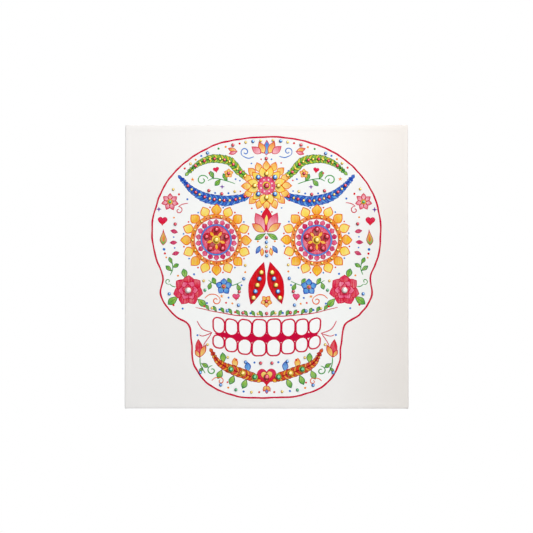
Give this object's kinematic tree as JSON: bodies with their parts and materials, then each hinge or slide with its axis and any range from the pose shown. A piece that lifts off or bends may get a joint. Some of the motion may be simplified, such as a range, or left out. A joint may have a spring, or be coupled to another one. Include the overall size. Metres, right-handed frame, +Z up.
{
  "type": "skull wall decoration",
  "caption": "Square stretched canvas for the wall: pine stretcher frame with corner keys, hanging rings, and a sugar-skull figure set with domed gems.",
  "frame": {"origin": "on the back of the cloth's flap at the middle of the top bar, in the plane that meets the wall", "axes": "the front faces -Y, +X is to the viewer's right and +Z is up"},
  "size_m": [0.4064, 0.0272, 0.4076],
  "materials": {
    "canvas": "primed, fine weave",
    "pine": "planed, unvarnished",
    "key_wood": "sawn, unvarnished",
    "steel": "zinc plated",
    "brass": "plated, semi-gloss",
    "gem_gold": "polished",
    "gem_blue": "polished",
    "gem_red": "polished",
    "gem_green": "polished",
    "gem_pearl": "pearl"
  },
  "bodies": {
    "frame": {"canvas": "canvas", "bar_top": "pine", "bar_right": "pine", "bar_bottom": "pine", "bar_left": "pine", "strap_left": "steel", "strap_right": "steel", "screw_left": "brass", "screw_right": "brass", "gem_blossom_centre": "gem_red", "gem_blossom_1": "gem_gold", "gem_blossom_2": "gem_blue", "gem_blossom_3": "gem_gold", "gem_blossom_4": "gem_blue", "gem_blossom_5": "gem_gold", "gem_blossom_6": "gem_blue", "gem_blossom_7": "gem_gold", "gem_blossom_8": "gem_blue", "gem_eye_left_centre": "gem_gold", "gem_eye_left_1": "gem_red", "gem_eye_left_2": "gem_red", "gem_eye_left_3": "gem_red", "gem_eye_left_4": "gem_red", "gem_eye_left_5": "gem_red", "gem_nose_left_1": "gem_gold", "gem_nose_left_2": "gem_blue", "gem_nose_left_3": "gem_gold", "gem_nose_left_4": "gem_blue", "gem_nose_left_5": "gem_gold", "gem_cheek_left": "gem_pearl", "gem_chin_left_1": "gem_green", "gem_chin_left_2": "gem_gold", "gem_chin_left_3": "gem_green", "gem_eye_right_centre": "gem_gold", "gem_eye_right_1": "gem_red", "gem_eye_right_2": "gem_red", "gem_eye_right_3": "gem_red", "gem_eye_right_4": "gem_red", "gem_eye_right_5": "gem_red", "gem_nose_right_1": "gem_gold", "gem_nose_right_2": "gem_blue", "gem_nose_right_3": "gem_gold", "gem_nose_right_4": "gem_blue", "gem_nose_right_5": "gem_gold", "gem_cheek_right": "gem_pearl", "gem_chin_right_1": "gem_green", "gem_chin_right_2": "gem_gold", "gem_chin_right_3": "gem_green", "gem_chin_centre": "gem_red"},
    "ring_left": {"ring_left": "steel"},
    "ring_right": {"ring_right": "steel"},
    "key_top_right_level": {"key_top_right_level": "key_wood"},
    "key_top_right_upright": {"key_top_right_upright": "key_wood"},
    "key_bottom_right_level": {"key_bottom_right_level": "key_wood"},
    "key_bottom_right_upright": {"key_bottom_right_upright": "key_wood"},
    "key_bottom_left_level": {"key_bottom_left_level": "key_wood"},
    "key_bottom_left_upright": {"key_bottom_left_upright": "key_wood"},
    "key_top_left_level": {"key_top_left_level": "key_wood"},
    "key_top_left_upright": {"key_top_left_upright": "key_wood"}
  },
  "joints": [
    {"name": "ring_left_swing", "type": "hinge", "parent": "frame", "child": "ring_left", "pos_m": [-0.17425, 0.0019, -0.0905], "axis": [1, 0, 0], "range_deg": [0, 180]},
    {"name": "ring_right_swing", "type": "hinge", "parent": "frame", "child": "ring_right", "pos_m": [0.17425, 0.0019, -0.0905], "axis": [1, 0, 0], "range_deg": [0, 180]},
    {"name": "key_top_right_level_slide", "type": "slide", "parent": "frame", "child": "key_top_right_level", "axis": [-1, 0, 0], "range_m": [0, 0.012]},
    {"name": "key_top_right_upright_slide", "type": "slide", "parent": "frame", "child": "key_top_right_upright", "axis": [0, 0, -1], "range_m": [0, 0.012]},
    {"name": "key_bottom_right_level_slide", "type": "slide", "parent": "frame", "child": "key_bottom_right_level", "axis": [-1, 0, 0], "range_m": [0, 0.012]},
    {"name": "key_bottom_right_upright_slide", "type": "slide", "parent": "frame", "child": "key_bottom_right_upright", "axis": [0, 0, 1], "range_m": [0, 0.012]},
    {"name": "key_bottom_left_level_slide", "type": "slide", "parent": "frame", "child": "key_bottom_left_level", "axis": [1, 0, 0], "range_m": [0, 0.012]},
    {"name": "key_bottom_left_upright_slide", "type": "slide", "parent": "frame", "child": "key_bottom_left_upright", "axis": [0, 0, 1], "range_m": [0, 0.012]},
    {"name": "key_top_left_level_slide", "type": "slide", "parent": "frame", "child": "key_top_left_level", "axis": [1, 0, 0], "range_m": [0, 0.012]},
    {"name": "key_top_left_upright_slide", "type": "slide", "parent": "frame", "child": "key_top_left_upright", "axis": [0, 0, -1], "range_m": [0, 0.012]}
  ]
}
